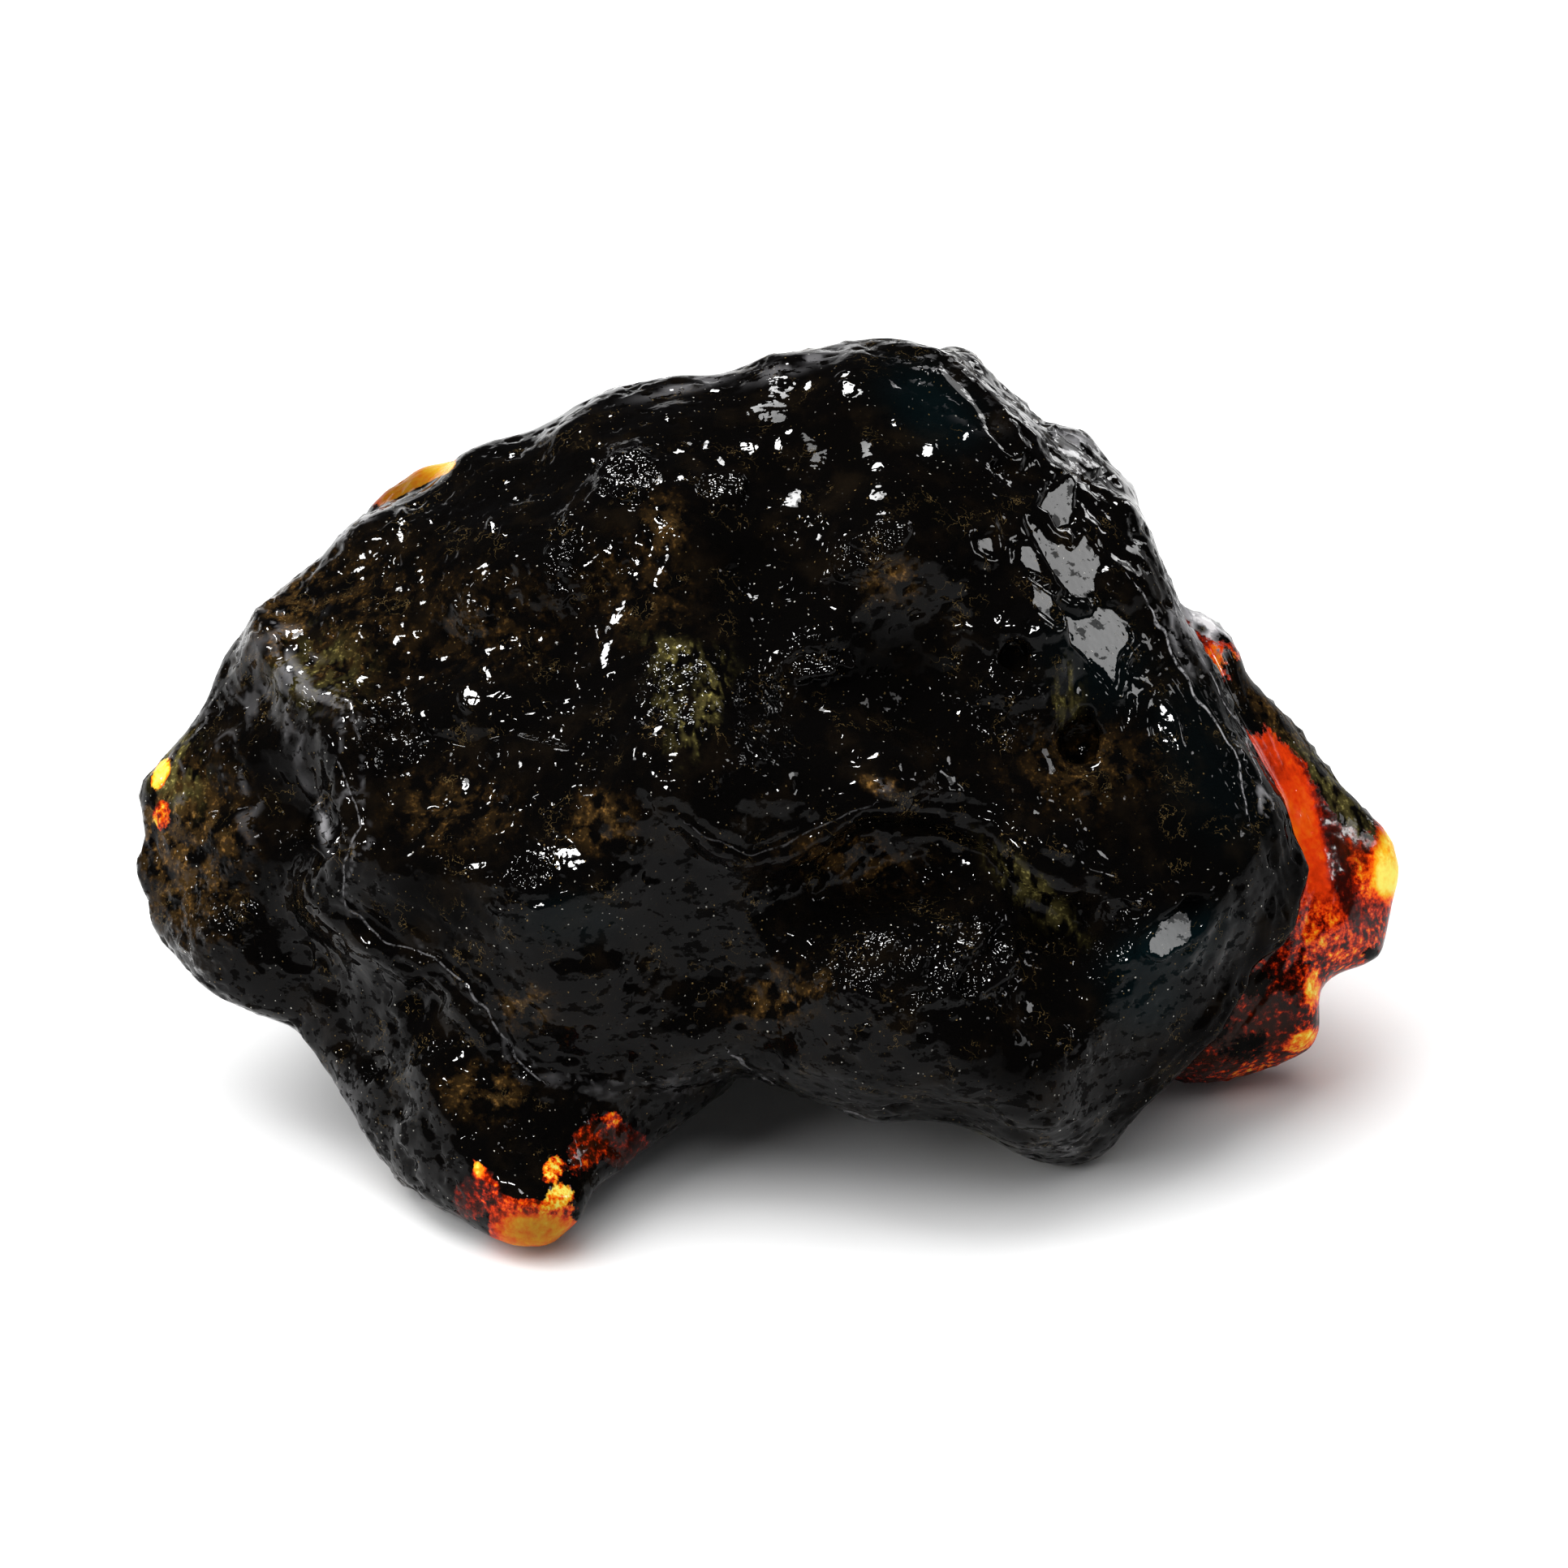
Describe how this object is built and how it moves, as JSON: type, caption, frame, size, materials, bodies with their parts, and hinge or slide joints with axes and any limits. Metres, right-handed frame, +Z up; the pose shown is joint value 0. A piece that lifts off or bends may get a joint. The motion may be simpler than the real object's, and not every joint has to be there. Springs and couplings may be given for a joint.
{
  "type": "raw amber piece",
  "caption": "Rough natural amber lump with a dark knobbly crust, pits, a crossing ridge and ledge, and thin translucent orange-red and yellow edges.",
  "frame": {"origin": "centre of the bounding box's underside, on the surface that the lump lies on", "axes": "+X along the lump's length, +Z up, and -Y to the side with the ledge and the front foot"},
  "size_m": [0.076, 0.05, 0.0425],
  "materials": {
    "amber": "wet gloss over a dark mottled crust, clear orange-red and yellow at thin edges"
  },
  "bodies": {
    "root": {"amber": "amber"}
  },
  "joints": []
}
